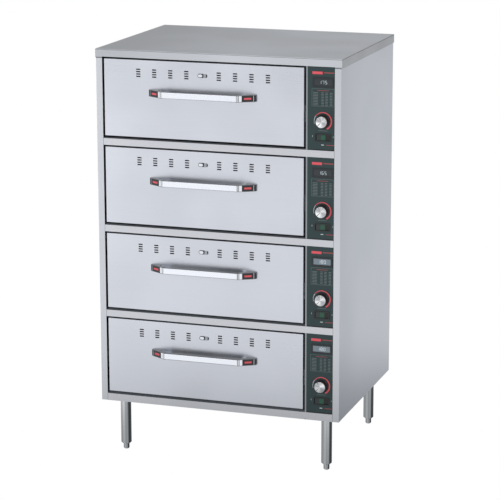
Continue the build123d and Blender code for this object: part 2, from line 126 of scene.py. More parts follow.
class Nodes:
    """One node tree and the calls that build it."""

    def __init__(self, tree):
        self.tree = tree

    def put(self, socket, value):
        """Link a value to a socket, or set a plain number or colour on it."""
        if isinstance(value, Value):
            self.tree.links.new(value.socket, socket)
        else:
            socket.default_value = value

    def add(self, kind, inputs=None, output=0, **settings):
        """Add a node, with its settings first and then its inputs, and give one of its outputs."""
        node = self.tree.nodes.new(kind)
        for name, value in settings.items():
            setattr(node, name, value)
        for name, value in (inputs or {}).items():
            self.put(node.inputs[name], value)
        return Value(self, node.outputs[output]) if node.outputs else None

    def math(self, operation, first, second=0.0):
        """A sum on values or numbers."""
        return self.add("ShaderNodeMath", {0: first, 1: second}, operation=operation)

    def ramp(self, value, low, high, start=0.0, end=1.0):
        """A value carried smoothly from one range to another."""
        limits = {"Value": value, "From Min": low, "From Max": high, "To Min": start, "To Max": end}
        return self.add("ShaderNodeMapRange", limits, interpolation_type="SMOOTHSTEP")

    def place(self):
        """Position on the piece itself, in metres."""
        return self.add("ShaderNodeTexCoord", output="Object")

    def axes(self, vector):
        """The X, Y and Z of a vector."""
        split = self.add("ShaderNodeSeparateXYZ", {0: vector}).socket.node
        return [Value(self, socket) for socket in split.outputs]


def room_light(nodes, kind, share, low, high):
    """Pale light between two levels, which the camera alone sees as plain white."""
    dim = nodes.add(kind, {"Color": room_tint, "Strength": low})
    bright = nodes.add(kind, {"Color": room_tint, "Strength": high})
    glow = nodes.add("ShaderNodeMixShader", {0: share, 1: dim, 2: bright})
    plain = nodes.add(kind, {"Color": white, "Strength": 1.0})
    seen = nodes.add("ShaderNodeLightPath", output="Is Camera Ray")
    return nodes.add("ShaderNodeMixShader", {0: seen, 1: glow, 2: plain})


floor_mesh = bpy.data.meshes.new("studio_floor")
floor_signs = ((-1, -1), (1, -1), (1, 1), (-1, 1))
floor_corners = [(x * floor_half, y * floor_half, 0.0) for x, y in floor_signs]
floor_mesh.from_pydata(floor_corners, [], [(0, 1, 2, 3)])
floor = bpy.data.objects.new("studio_floor", floor_mesh)
bpy.context.scene.collection.objects.link(floor)
floor_paint = bpy.data.materials.new("studio_floor")
floor_paint.use_nodes = True
floor_paint.node_tree.nodes.clear()
nodes = Nodes(floor_paint.node_tree)
# Painted shade: the floor glows dimmer round the warmer's feet and brighter further out, as if in its
# shadow.
outward = nodes.add("ShaderNodeVectorMath", {0: nodes.place()}, "Value", operation="LENGTH")
share = nodes.ramp(outward, floor_near_radius, floor_far_radius)
surface = room_light(nodes, "ShaderNodeEmission", share, floor_near, floor_far)
nodes.add("ShaderNodeOutputMaterial", {"Surface": surface})
floor_mesh.materials.append(floor_paint)

world = bpy.data.worlds.new("studio")
world.use_nodes = True
world.node_tree.nodes.clear()
nodes = Nodes(world.node_tree)
height = nodes.axes(nodes.add("ShaderNodeTexCoord", output="Generated"))[z_axis]
share = nodes.ramp(height, horizon_height, ceiling_height)
surface = room_light(nodes, "ShaderNodeBackground", share, horizon_level, ceiling_level)
nodes.add("ShaderNodeOutputWorld", {"Surface": surface})
bpy.context.scene.world = world


# Lamps. A large soft box in front and to the left, a weaker one at the right, and a narrow one near
# the floor for the legs. Each row gives a lamp's place, width and height in metres, and its watts.
lamp_rows = {
    "key_light": ((-2.6, -3.4, 3.2), 5.0, 5.0, 45.0),
    "fill_light": ((3.4, -1.2, 2.6), 2.0, 2.0, 14.0),
    "leg_light": ((-1.9, -2.6, 0.45), 0.18, 0.8, 1.3),
}
lamp_aim = Vector((0.0, 0.0, 0.65))

for name, (place, width, height, watts) in lamp_rows.items():
    lamp_data = bpy.data.lights.new(name, "AREA")
    lamp_data.shape = "RECTANGLE"
    lamp_data.size = width
    lamp_data.size_y = height
    lamp_data.energy = watts
    lamp = bpy.data.objects.new(name, lamp_data)
    lamp.location = place
    lamp.rotation_euler = (lamp_aim - Vector(place)).to_track_quat("-Z", "Y").to_euler()
    bpy.context.scene.collection.objects.link(lamp)


# Cabinet: base, sides, back, face frame and cover, folded from brushed stainless sheet and fixed
# together. The scratches run one way over a slow change of tone. Seams show as dark lines. Shade, a
# highlight and a faint glow are painted into the sheets' colour, as marked below.
mm = 0.001
scratch_fine = 900.0
scratch_long = 6.0
band_fine = 22.5
band_long = 1.0
line_share = 0.3
band_share = 0.25
cloud_share = 0.45
cloud_scale = 4.0
cloud_low = 0.35
cloud_high = 0.65
scratch_shine = 0.16
scratch_depth = 0.0002

side_shade_colour = (0.43, 0.45, 0.49)
fold_highlight_colour = (0.71, 0.725, 0.76)
frame_colour = (0.62, 0.63, 0.66)
upright_shade_colour = (0.20, 0.225, 0.23)
cover_colour = (0.62, 0.64, 0.67)
shadow = (0.004, 0.005, 0.006)
no_glow = (0.0, 0.0, 0.0)
gap_glow = (0.045, 0.05, 0.056)
sheet_roughness = 0.34

seam_and_shadow_line = 0.9
edge_line = 1.6
edge_drop = 1.2
fold = 0.3
flange_skin = 0.5
glow_depth = 0.5
front_drop = 8.0
rail_height = 20.0
upright_width = 5.0
side_fade = 0.25
cover_fade_end = 0.1
far = 9.0

front_low, front_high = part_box("drawer_front_4")
front_face = front_low[1]
bay_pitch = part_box("drawer_front_3")[0][2] - front_low[2]
bay_floor = front_low[2] - front_drop * mm
bay_height = bay_pitch - rail_height * mm
panel_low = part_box("control_panels")[0]
cover_low, cover_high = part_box("top_cover")
frame_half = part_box("front_frame")[1][0]
under_cover = cover_low[2] - 2 * seam_and_shadow_line * mm
edge_top = cover_high[2] - edge_drop * mm


class Finish(Nodes):
    """The nodes of one finish, round its one Principled shader."""

    @property
    def shader(self):
        """The finish's Principled shader."""
        return next(node for node in self.tree.nodes if node.type == "BSDF_PRINCIPLED")

    def feed(self, **sockets):
        """Link or set sockets of the shader, named as in Base_Color."""
        for name, value in sockets.items():
            self.put(self.shader.inputs[name.replace("_", " ")], value)

    def base(self):
        """The colour that feeds the shader so far."""
        return Value(self, self.shader.inputs["Base Color"].links[0].from_socket)

    def along(self, way):
        """Position along a way: x, y or z, span for X on either side of the middle, or bay for the
        height within one drawer's bay."""
        x, y, z = self.axes(self.place())
        if way == "span":
            return abs(x)
        if way == "bay":
            return (z - bay_floor) % bay_pitch
        return {"x": x, "y": y, "z": z}[way]

    def mix(self, share, first, second):
        """Blend two colours, each of them a value or plain red, green and blue."""
        pair = [tone if isinstance(tone, Value) else (*tone, 1.0) for tone in (first, second)]
        return self.add("ShaderNodeMix", {0: share, 6: pair[0], 7: pair[1]}, 2, data_type="RGBA")

    def noise(self, vector, scale, detail=2.0):
        """Noise from 0 to 1."""
        return self.add("ShaderNodeTexNoise", {"Vector": vector, "Scale": scale, "Detail": detail})

    def bump(self, height, strength, distance):
        """Relief for the shader's Normal, with its distance in metres."""
        relief = {"Height": height, "Strength": strength, "Distance": distance}
        return self.add("ShaderNodeBump", relief)


def paint(name, **sockets):
    """A new material with one Principled shader, and the calls for its nodes."""
    made = bpy.data.materials.new(name)
    made.use_nodes = True
    made.node_tree.nodes.clear()
    nodes = Finish(made.node_tree)
    nodes.add("ShaderNodeOutputMaterial", {"Surface": nodes.add("ShaderNodeBsdfPrincipled")})
    nodes.feed(**sockets)
    return made, nodes


def shades(colour, spread):
    """A colour made darker and lighter by a share."""
    dark = tuple(channel * (1.0 - spread) for channel in colour)
    return dark, tuple(min(channel * (1.0 + spread), 1.0) for channel in colour)


def scratch(nodes, grain, roughness, relief=0.04):
    """Scratch a finish along one axis, in its roughness and relief, and give the scratches' tone."""
    fine = [scratch_fine] * 3
    fine[grain] = scratch_long
    wide = [band_fine] * 3
    wide[grain] = band_long
    across = nodes.add("ShaderNodeMapping", {"Vector": nodes.place(), "Scale": fine})
    lines = nodes.noise(across, 1.0)
    slow = nodes.add("ShaderNodeMapping", {"Vector": nodes.place(), "Scale": wide})
    bands = nodes.noise(slow, 1.0, 3.0)
    clouds = nodes.ramp(nodes.noise(nodes.place(), cloud_scale, 1.0), cloud_low, cloud_high)
    tone = lines * line_share + bands * band_share + clouds * cloud_share
    nodes.feed(
        Roughness=tone * scratch_shine + (roughness - scratch_shine / 2),
        Normal=nodes.bump(lines, relief, scratch_depth),
    )
    return tone


def brushed(name, colour, grain, roughness, contrast=0.05, relief=0.04):
    """Brushed sheet with its scratches along one axis."""
    made, nodes = paint(name, Metallic=1.0)
    tone = scratch(nodes, grain, roughness, relief)
    nodes.feed(Base_Color=nodes.mix(tone, *shades(colour, contrast)))
    return made


def fade(made, colour, way, low, high, start):
    """Mix a colour into a finish by a share that falls to nothing along one way."""
    nodes = Finish(made.node_tree)
    share = nodes.ramp(nodes.along(way), low, high, start, 0.0)
    nodes.feed(Base_Color=nodes.mix(share, nodes.base(), colour))


def tint(made, colour, share, **ranges):
    """Mix a colour into a finish within a range along each way named."""
    nodes = Finish(made.node_tree)
    mask = share
    for way, (low, high) in ranges.items():
        spot = nodes.along(way)
        mask = mask * (spot > low) * (spot < high)
    nodes.feed(Base_Color=nodes.mix(mask, nodes.base(), colour))


def dress(made, *names):
    """Give one material to whole CAD nodes."""
    for name in names:
        for slot in bpy.data.objects[name].material_slots:
            slot.material = made


# Painted shade: the sides, back and base take a darker copy of the steel's colour, for the shade on
# them.
side_finish = brushed("brushed_side", side_shade_colour, z_axis, roughness=sheet_roughness, contrast=0.07)
# Painted shadow: a dark line along the sides just under the cover's flange.
tint(side_finish, shadow, share=0.75, z=(under_cover, cover_low[2]))
# Painted highlight: a pale line along the front fold of each side.
tint(side_finish, fold_highlight_colour, share=0.9, y=(-far, front_face + fold * mm), z=(0.0, under_cover))
# Painted shade: the sides darken towards their front.
fade(side_finish, shadow, "y", front_face, front_face + side_fade, start=0.10)
dress(side_finish, "side_panel_left", "side_panel_right", "back_panel", "base_pan")

frame_finish = brushed("brushed_frame", frame_colour, x_axis, roughness=sheet_roughness)
upright = (panel_low[0] - upright_width * mm, panel_low[0])
tint(frame_finish, shadow, share=0.8, span=(frame_half - seam_and_shadow_line * mm, frame_half))
# Painted shade: the upright beside each control sheet is dark within each drawer's bay, as if in
# shade.
tint(frame_finish, upright_shade_colour, share=0.85, x=upright, bay=(0.0, bay_height))
# Painted light: the frame's faces behind its front glow faintly, which lightens the drawer gaps.
nodes = Finish(frame_finish.node_tree)
behind = nodes.along("y") > front_face + glow_depth * mm
nodes.feed(Emission_Color=nodes.mix(behind, no_glow, gap_glow), Emission_Strength=1.0)
dress(frame_finish, "front_frame")

cover_finish = brushed("brushed_cover", cover_colour, x_axis, roughness=sheet_roughness)
# Painted shade: the cover's side flanges are darker.
tint(cover_finish, shadow, share=0.56, span=(cover_high[0] - flange_skin * mm, far))
# Painted shade: the cover darkens towards its left end.
fade(cover_finish, shadow, "x", cover_low[0], cover_fade_end, start=0.20)
# Painted shade: a dark line round the cover just under its top edge.
tint(cover_finish, shadow, share=0.5, z=(edge_top - edge_line * mm, edge_top))
dress(cover_finish, "top_cover")


# Legs and feet: satin stainless tube bolted under the cabinet, with a turned foot screwed into each.
# The streaks along each tube stand for its reflections, and are painted into its colour by the way its
# surface faces.
streak_dark = (0.07, 0.08, 0.085)
streak_bright = (0.88, 0.91, 0.93)
streak_turn = -95.0
broad_streaks = 2.0
narrow_streaks = 9.0
narrow_share = 0.35
streak_low = -1.0
streak_high = 1.3

leg_finish, nodes = paint("leg_satin", Metallic=1.0)
scratch(nodes, z_axis, roughness=0.16)
# Painted reflections: bright and dark streaks set by which way the tube's surface faces.
facing = nodes.axes(nodes.add("ShaderNodeTexCoord", output="Normal"))
around = nodes.math("ARCTAN2", facing[y_axis], facing[x_axis]) - math.radians(streak_turn)
broad = nodes.math("COSINE", around * broad_streaks)
narrow = nodes.math("COSINE", around * narrow_streaks)
gleam = nodes.ramp(narrow * narrow_share + broad, streak_low, streak_high)
nodes.feed(Base_Color=nodes.mix(gleam, streak_dark, streak_bright))
leg_names = [f"foot_{end}_{side}" for end in ("front", "back") for side in ("left", "right")]
dress(leg_finish, "legs", *leg_names)


# Compartments: a liner of plain mill-finish steel round each drawer, mineral wool between liners and
# cabinet, and two metal-sheathed strip heaters on the floor of each, stained by heat.
liner_colour = (0.50, 0.51, 0.52)
wool_dark = (0.42, 0.40, 0.31)
wool_light = (0.86, 0.83, 0.70)
wool_scale = 180.0
wool_relief = 0.8
wool_depth = 0.002
stain_dark = (0.10, 0.09, 0.10)
stain_light = (0.34, 0.28, 0.24)
stain_scale = 14.0
stain_low = 0.3
stain_high = 0.7
stain_smooth = 0.35
stain_rough = 0.6

liner_finish = brushed("mill_steel", liner_colour, y_axis, roughness=0.45)
dress(liner_finish, "cell_liners")
wool, nodes = paint("mineral_wool", Roughness=0.95)
fibres = nodes.noise(nodes.place(), wool_scale, 6.0)
nodes.feed(
    Base_Color=nodes.mix(fibres, wool_dark, wool_light),
    Normal=nodes.bump(fibres, wool_relief, wool_depth),
)
dress(wool, "insulation")
sheath, nodes = paint("heater_sheath", Metallic=1.0)
stain = nodes.noise(nodes.place(), stain_scale, 4.0)
nodes.feed(
    Base_Color=nodes.mix(stain, stain_dark, stain_light),
    Roughness=nodes.ramp(stain, stain_low, stain_high, stain_smooth, stain_rough),
)
dress(sheath, "heating_elements")


# Telescopic slides: three rolled channels on each side of a drawer, zinc plated with a slight mottle.
# The outer ones are fixed to the cabinet, the inner ones to the drawer.
numbers = range(1, 5)
slide_colour = (0.60, 0.62, 0.64)

slide_finish = brushed("slide_zinc", slide_colour, y_axis, roughness=0.34, contrast=0.08)
slide_names = [f"{part}_{n}" for part in ("slide_middle", "slide_inner") for n in numbers]
dress(slide_finish, "slide_outers", *slide_names)


# Drawers: a brushed stainless front with pressed vents, a folded body welded behind it, and a drawn
# food pan that rests in the body. A flat shutter behind the vents has its button in the front's slot.
front_colour = (0.665, 0.685, 0.735)
body_colour = (0.56, 0.57, 0.59)
pan_colour = (0.70, 0.71, 0.72)
button_colour = (0.80, 0.82, 0.86)
plate_shade_colour = (0.03, 0.035, 0.04)
slot_shade_colour = (0.42, 0.44, 0.47)
body_shade = 2.0
plate_skin = 0.1
button_left = 6.7
button_straight = 5.0
button_rim = 4.2
slot_start = 8.2
slot_end = 17.0

front_finish = brushed("brushed_front", front_colour, x_axis, roughness=0.32, contrast=0.09)
dress(front_finish, *[f"drawer_front_{n}" for n in numbers])
body_finish = brushed("drawer_body", body_colour, y_axis, roughness=0.42)
# Painted shade: the body's front wall, seen through the vents, is dark.
tint(body_finish, shadow, share=0.9, y=(-far, front_high[1] + body_shade * mm))
dress(body_finish, *[f"drawer_box_{n}" for n in numbers])
pan_finish = brushed("pan_satin", pan_colour, x_axis, roughness=0.28)
dress(pan_finish, *[f"drawer_pan_{n}" for n in numbers])

slider_low, slider_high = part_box("vent_shutter_4")
button_x = (front_low[0] + front_high[0]) / 2 - button_left * mm
button_rise = (slider_low[2] + slider_high[2]) / 2 - bay_floor
slot_range = (button_x + slot_start * mm, button_x + slot_end * mm)
shutter_finish = brushed("brushed_shutter", button_colour, x_axis, roughness=0.28)
# Painted shade: the plate behind the front is dark, darkest round the button and mid grey in the slot
# beside it.
tint(shutter_finish, shadow, share=0.93, y=(front_face + plate_skin * mm, far))
nodes = Finish(shutter_finish.node_tree)
aside = nodes.math("MAXIMUM", abs(nodes.along("x") - button_x) - button_straight / 2 * mm, 0.0)
rise = nodes.along("bay") - button_rise
offset = nodes.add("ShaderNodeCombineXYZ", {0: aside, 1: rise})
from_middle = nodes.add("ShaderNodeVectorMath", {0: offset}, "Value", operation="LENGTH")
nodes.feed(Base_Color=nodes.mix(from_middle > button_rim * mm, nodes.base(), plate_shade_colour))
tint(shutter_finish, slot_shade_colour, share=0.85, x=slot_range, y=(front_face, far))
dress(shutter_finish, *[f"vent_shutter_{n}" for n in numbers])


# Pull handles: a flat satin grip between two polished end castings, screwed on from behind the front.
# Each casting has a sloping face with a black inlay, a plain bar on it, and two grooves by the grip,
# lined with black as painted shade.
grip_colour = (0.90, 0.92, 0.97)
casting_colour = (0.80, 0.82, 0.86)
inlay_and_groove_shade_colour = (0.012, 0.013, 0.016)
bar_colour = (0.80, 0.095, 0.12)
speckle = 0.06
satin_shine = 0.1
satin_depth = 0.0003
smooth_angle = 35.0
end_toe = 4.5
end_shoulder = 8.8
end_shoulder_in = 5.4
end_foot = 31.5
end_throat = 24.0
end_step = 11.0
end_bevel = 0.6
groove_width = 1.6
groove_depth = 0.9
groove_sunk = 0.3
groove_pitch = 4.2
groove_count = 2
groove_inset = 1.0
inlay_length = 34.5
inlay_height = 17.6
inlay_margin = 1.0
inlay_thick = 1.2
inlay_proud = 0.3
inlay_bevel = 0.4
toe_gap = 0.8
toe_thick = 1.0
toe_slant = 0.5
bar_length = 21.0
bar_height = 5.4
bar_proud = 0.15
grip_edge = 0.9
grip_skin = 2.5


def new_piece(name, shape, finish, body, bevel=0.0, smooth=True):
    """Turn a bmesh into a named piece that rides on a body."""
    mesh = bpy.data.meshes.new(name)
    bmesh.ops.recalc_face_normals(shape, faces=shape.faces)
    shape.to_mesh(mesh)
    shape.free()
    mesh.materials.append(finish)
    piece = bpy.data.objects.new(name, mesh)
    bpy.context.scene.collection.objects.link(piece)
    if bevel:
        rounding = piece.modifiers.new("edges", "BEVEL")
        rounding.width = bevel
        rounding.segments = 3
        rounding.harden_normals = True
    if smooth:
        mesh.shade_smooth()
        mesh.set_sharp_from_angle(angle=math.radians(smooth_angle))
    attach(piece, body)
    return piece


def add_prism(shape, outline, low, high, turn=None):
    """Add a closed prism: an outline in X and Y between two heights, then turned by a matrix."""
    turn = turn or Matrix.Identity(4)
    lower = [shape.verts.new(turn @ Vector((x, y, low))) for x, y in outline]
    upper = [shape.verts.new(turn @ Vector((x, y, high))) for x, y in outline]
    shape.faces.new(lower[::-1])
    shape.faces.new(upper)
    for here in range(len(outline)):
        after = (here + 1) % len(outline)
        shape.faces.new((lower[here], lower[after], upper[after], upper[here]))


def add_block(shape, x0, x1, y0, y1, z0, z1, turn=None):
    """Add a closed block between two corners."""
    add_prism(shape, [(x0, y0), (x1, y0), (x1, y1), (x0, y1)], z0, z1, turn)


def satin(name, colour, roughness, metallic=0.0, scale=900.0, relief=0.05):
    """An even surface with a fine speckle in its tone and relief."""
    made, nodes = paint(name, Metallic=metallic)
    grain = nodes.noise(nodes.place(), scale, 3.0)
    nodes.feed(
        Base_Color=nodes.mix(grain, *shades(colour, speckle)),
        Roughness=grain * satin_shine + (roughness - satin_shine / 2),
        Normal=nodes.bump(grain, relief, satin_depth),
    )
    return made


grip_finish = brushed("grip_satin", grip_colour, x_axis, roughness=0.22, contrast=0.03, relief=0.02)
casting_finish = satin(
    "polished_casting", casting_colour, roughness=0.16, metallic=1.0, scale=120.0, relief=0.02
)
inlay_and_groove_shade_finish = satin("black_inlay_and_groove_shade", inlay_and_groove_shade_colour, roughness=0.25)
bar_finish = satin("red_print", bar_colour, roughness=0.45)
grip_low, grip_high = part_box("handle_grip_4")
grip_foot = grip_low[2] - bay_floor + grip_edge * mm
grip_top = grip_high[2] - bay_floor - grip_edge * mm
# Painted shade: the grips and castings are dark along their top and bottom edges, and each grip is
# dark at its back.
for finish in (grip_finish, casting_finish):
    tint(finish, shadow, share=0.8, bay=(grip_top, bay_pitch))
    tint(finish, shadow, share=0.7, bay=(0.0, grip_foot))
tint(grip_finish, shadow, share=0.85, y=(grip_low[1] + grip_skin * mm, far))
dress(grip_finish, *[f"handle_grip_{n}" for n in numbers])

for n in numbers:
    low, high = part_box(f"handle_ends_{n}")
    middle = Vector(((low[0] + high[0]) / 2, high[1], (low[2] + high[2]) / 2))
    half = (high[0] - low[0]) / 2
    reach = high[1] - low[1]
    tall = (high[2] - low[2]) / 2
    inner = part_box(f"handle_grip_{n}")[1][0] - middle.x
    shoulder = Vector((half - end_shoulder_in * mm, -end_shoulder * mm))
    knee = Vector((inner, -reach))
    slope = knee - shoulder
    run = slope.normalized()
    lean = Matrix.Rotation(math.atan2(slope.y, slope.x), 4, "Z")
    inward = Vector((run.y, -run.x)) * groove_depth * mm

    grooves = [slope.length - place * groove_pitch * mm for place in range(groove_count, 0, -1)]
    outline = [(half, 0.0), (half, -end_toe * mm), tuple(shoulder)]
    for groove in grooves:
        for way in (-1, 1):
            lip = shoulder + run * (groove + way * groove_width / 2 * mm)
            outline += [tuple(spot) for spot in (lip, lip + inward)[::-way]]
    outline.append(tuple(knee))
    outline.append((inner, -end_throat * mm))
    outline.append((half - end_foot * mm, -end_step * mm))
    outline.append((half - end_foot * mm, 0.0))

    proud = inlay_proud * mm
    toe_plate = [
        (half + proud, -toe_gap * mm),
        (half + proud, -end_toe * mm),
        (shoulder.x + proud / 2, shoulder.y - proud),
        (shoulder.x - toe_thick * mm, shoulder.y + toe_thick * mm),
        (half - toe_thick * mm, (toe_slant - end_toe) * mm),
        (half - toe_thick * mm, -toe_gap * mm),
    ]

    castings = bmesh.new()
    inlays_and_groove_shade = bmesh.new()
    bars = bmesh.new()
    for side in (1, -1):
        flip = Matrix.Translation(middle) @ Matrix.Diagonal((side, 1, 1, 1))
        add_prism(castings, outline, -tall, tall, flip)
        # Painted shade: a black strip lies in the bottom of each groove.
        for groove in grooves:
            spot = shoulder + run * groove
            at = flip @ Matrix.Translation((*spot, 0.0)) @ lean
            wide = groove_width / 2 * mm
            deep = groove_depth * mm
            edge = tall - groove_inset * mm
            add_block(inlays_and_groove_shade, -wide, wide, -deep, -groove_sunk * mm, -edge, edge, at)
        spot = shoulder + run * (inlay_margin + inlay_length / 2) * mm
        at = flip @ Matrix.Translation((*spot, 0.0)) @ lean
        wide = inlay_length / 2 * mm
        edge = inlay_height / 2 * mm
        add_block(inlays_and_groove_shade, -wide, wide, proud - inlay_thick * mm, proud, -edge, edge, at)
        add_prism(inlays_and_groove_shade, toe_plate, -edge, edge, flip)
        wide = bar_length / 2 * mm
        edge = bar_height / 2 * mm
        add_block(bars, -wide, wide, 0.0, proud + bar_proud * mm, -edge, edge, at)
    body = f"drawer_{n}"
    ends = new_piece(f"end_castings_{n}", castings, casting_finish, body, bevel=end_bevel * mm)
    plates = new_piece(f"end_inlays_and_groove_shade_{n}", inlays_and_groove_shade, inlay_and_groove_shade_finish, body, bevel=inlay_bevel * mm)
    prints = new_piece(f"end_bars_{n}", bars, bar_finish, body)
    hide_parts(f"handle_ends_{n}")


# Thermostats: a moulded case behind each control sheet, with the knob's spindle through the sheet. It
# is fixed to the back of the sheet.
thermostat_colour = (0.07, 0.07, 0.075)

dress(satin("thermostat_case", thermostat_colour, roughness=0.55), "thermostats")


# Control sheets: a dark printed sheet let into the face frame beside each drawer. Its print is a slim
# bar, a chart of plain dashes, a scale that widens round the knob, and small marks.
sheet_colour = (0.014, 0.040, 0.042)
pale_colour = (0.62, 0.66, 0.68)
dim_colour = (0.18, 0.21, 0.215)
dim_red_colour = (0.36, 0.07, 0.07)
foot_line = 3.2
print_thick = 0.2
chart_width = 66.0
chart_height = 50.0
chart_rise = 68.0
chart_line = 0.6
chart_rows = 9
chart_columns = (0.05, 0.42, 0.60, 0.80)
first_row = 0.27
row_spread = 0.70
dash_height = 1.3
first_dash = 0.22
other_dash = 0.11
scale_radius = 26.7
scale_thin = 1.0
scale_thick = 4.6
scale_start = -108.0
scale_change = -55.0
scale_end = 152.0
pale_steps = 12
red_steps = 48
sheet_marks = (
    ("red", -17.0, 138.0, 30.0, 7.6),
    ("dim_red", 17.0, 139.0, 30.0, 3.0),
    ("dim_red", 0.0, 88.0, 33.0, 1.4),
    ("pale", -31.0, -44.1, 1.0, 5.0),
    ("dim", 31.0, -44.1, 3.2, 5.0),
    ("dim", 0.0, -27.0, 26.0, 1.2),
    ("pale", -1.0, -68.0, 8.0, 2.2),
    ("dim_red", 22.0, -68.0, 24.0, 1.8),
)

panel_face = panel_low[1]
panel_finish = satin("control_sheet", sheet_colour, roughness=0.42, scale=1400.0)
# Painted shadow: a dark line along the foot of each sheet, where it is set into the frame.
tint(panel_finish, shadow, share=0.85, bay=(0.0, foot_line * mm))
dress(panel_finish, "control_panels")
print_finishes = {
    "pale": satin("pale_print", pale_colour, roughness=0.5),
    "red": bar_finish,
    "dim": satin("dim_print", dim_colour, roughness=0.5),
    "dim_red": satin("dim_red_print", dim_red_colour, roughness=0.5),
}
print_names = {"pale": "pale_marks", "red": "red_scale", "dim": "chart", "dim_red": "dim_red_marks"}


def scale_width(angle):
    """The scale's width at an angle."""
    share = (angle - scale_start) / (scale_end - scale_start)
    return scale_thin + (scale_thick - scale_thin) * share


def add_scale(shape, centre, start, end, steps):
    """Add a stretch of the scale. Angles run clockwise from the top, in degrees."""
    ring = []
    for step in range(steps + 1):
        angle = start + (end - start) * step / steps
        across = math.sin(math.radians(angle))
        up = math.cos(math.radians(angle))
        for radius in (scale_radius - scale_width(angle), scale_radius):
            for y in (panel_face - print_thick * mm, panel_face):
                spot = (centre[0] + radius * mm * across, y, centre[1] + radius * mm * up)
                ring.append(shape.verts.new(spot))
    for step in range(steps):
        here = ring[4 * step : 4 * step + 4]
        there = ring[4 * step + 4 : 4 * step + 8]
        for a, b in ((0, 2), (2, 3), (3, 1), (1, 0)):
            shape.faces.new((here[a], here[b], there[b], there[a]))
    for cap in (ring[:4], ring[-4:]):
        shape.faces.new((cap[0], cap[2], cap[3], cap[1]))


def add_mark(shape, centre, right, up, width, height):
    """Add a printed rectangle, placed in millimetres from the knob's axis."""
    left = centre[0] + (right - width / 2) * mm
    foot = centre[1] + (up - height / 2) * mm
    depth = (panel_face - print_thick * mm, panel_face)
    add_block(shape, left, left + width * mm, *depth, foot, foot + height * mm)


for n in numbers:
    low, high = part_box(f"knob_{n}")
    axis = ((low[0] + high[0]) / 2, (low[2] + high[2]) / 2)
    shapes = {ink: bmesh.new() for ink in print_names}
    add_scale(shapes["pale"], axis, scale_start, scale_change, pale_steps)
    add_scale(shapes["red"], axis, scale_change, scale_end, red_steps)
    chart = shapes["dim"]
    for way in (-0.5, 0.5):
        add_mark(chart, axis, way * chart_width, chart_rise, chart_line, chart_height)
        add_mark(chart, axis, 0.0, chart_rise + way * chart_height, chart_width, chart_line)
    for row in range(chart_rows):
        up = chart_rise + chart_height * (first_row - row_spread * row / (chart_rows - 1))
        for column in chart_columns:
            dash = chart_width * (first_dash if column == chart_columns[0] else other_dash)
            right = chart_width * (column - 0.5) + dash / 2
            add_mark(chart, axis, right, up, dash, dash_height)
    for ink, *mark in sheet_marks:
        add_mark(shapes[ink], axis, *mark)
    for ink, name in print_names.items():
        finish = print_finishes[ink]
        piece = new_piece(f"{name}_{n}", shapes[ink], finish, "cabinet", smooth=False)


# Temperature displays: a moulded dark case set in each sheet, with a liquid-crystal window sunk in it
# and plain digits. The two upper windows are dark and the two lower ones pale.
case_colour = (0.012, 0.016, 0.019)
dark_window = (0.02, 0.028, 0.034)
pale_window = (0.20, 0.25, 0.29)
grey_digits = (0.62, 0.72, 0.76)
pale_digits = (0.86, 0.92, 0.96)
dark_displays = (1, 2)
display_rise = 111.4
window_inset = 5.0
window_height = 17.6
window_sunk = 0.6
window_thick = 0.5
digit_height = 9.0
digit_width = 5.0
digit_pitch = 8.5
digit_stroke = 1.1
digit_proud = 0.1
digit_segments = {
    "0": "abcdef",
    "1": "bc",
    "5": "acdfg",
    "6": "acdefg",
    "7": "abc",
    "8": "abcdefg",
}
readings = {1: "175", 2: "165", 3: "180", 4: "180"}

dress(satin("display_case", case_colour, roughness=0.3), "display_windows")
window_dark = satin("window_dark", dark_window, roughness=0.12)
window_pale = satin("window_pale", pale_window, roughness=0.18)
digit_dim = satin("digit_grey", grey_digits, roughness=0.4)
digit_pale = satin("digit_pale", pale_digits, roughness=0.4)
display_low, display_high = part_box("display_windows")
display_span = (display_low[0] + window_inset * mm, display_high[0] - window_inset * mm)
window_face = display_low[1] + window_sunk * mm


def add_digit(shape, digit, x, z):
    """Add one seven-segment digit on the window, centred on a point."""
    half_wide = digit_width / 2 * mm
    half_tall = digit_height / 2 * mm
    stroke = digit_stroke / 2 * mm
    spots = {
        "a": (0, half_tall, True),
        "b": (half_wide, half_tall / 2, False),
        "c": (half_wide, -half_tall / 2, False),
        "d": (0, -half_tall, True),
        "e": (-half_wide, -half_tall / 2, False),
        "f": (-half_wide, half_tall / 2, False),
        "g": (0, 0, True),
    }
    for segment in digit_segments[digit]:
        dx, dz, level = spots[segment]
        wide = half_wide - stroke if level else stroke
        tall = stroke if level else (half_tall - stroke) / 2
        sides = (x + dx - wide, x + dx + wide)
        ends = (z + dz - tall, z + dz + tall)
        add_block(shape, *sides, window_face - digit_proud * mm, window_face, *ends)


for n in numbers:
    low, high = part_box(f"knob_{n}")
    axis_x = (low[0] + high[0]) / 2
    window_z = (low[2] + high[2]) / 2 + display_rise * mm
    window_ends = (window_z - window_height / 2 * mm, window_z + window_height / 2 * mm)
    window_depth = (window_face, window_face + window_thick * mm)
    window = bmesh.new()
    add_block(window, *display_span, *window_depth, *window_ends)
    digits = bmesh.new()
    for place, digit in enumerate(readings[n]):
        add_digit(digits, digit, axis_x + (place - 1) * digit_pitch * mm, window_z)
    dark = n in dark_displays
    window_finish = window_dark if dark else window_pale
    digit_finish = digit_dim if dark else digit_pale
    glass = new_piece(f"display_glass_{n}", window, window_finish, "cabinet", smooth=False)
    figures = new_piece(f"digits_{n}", digits, digit_finish, "cabinet", smooth=False)


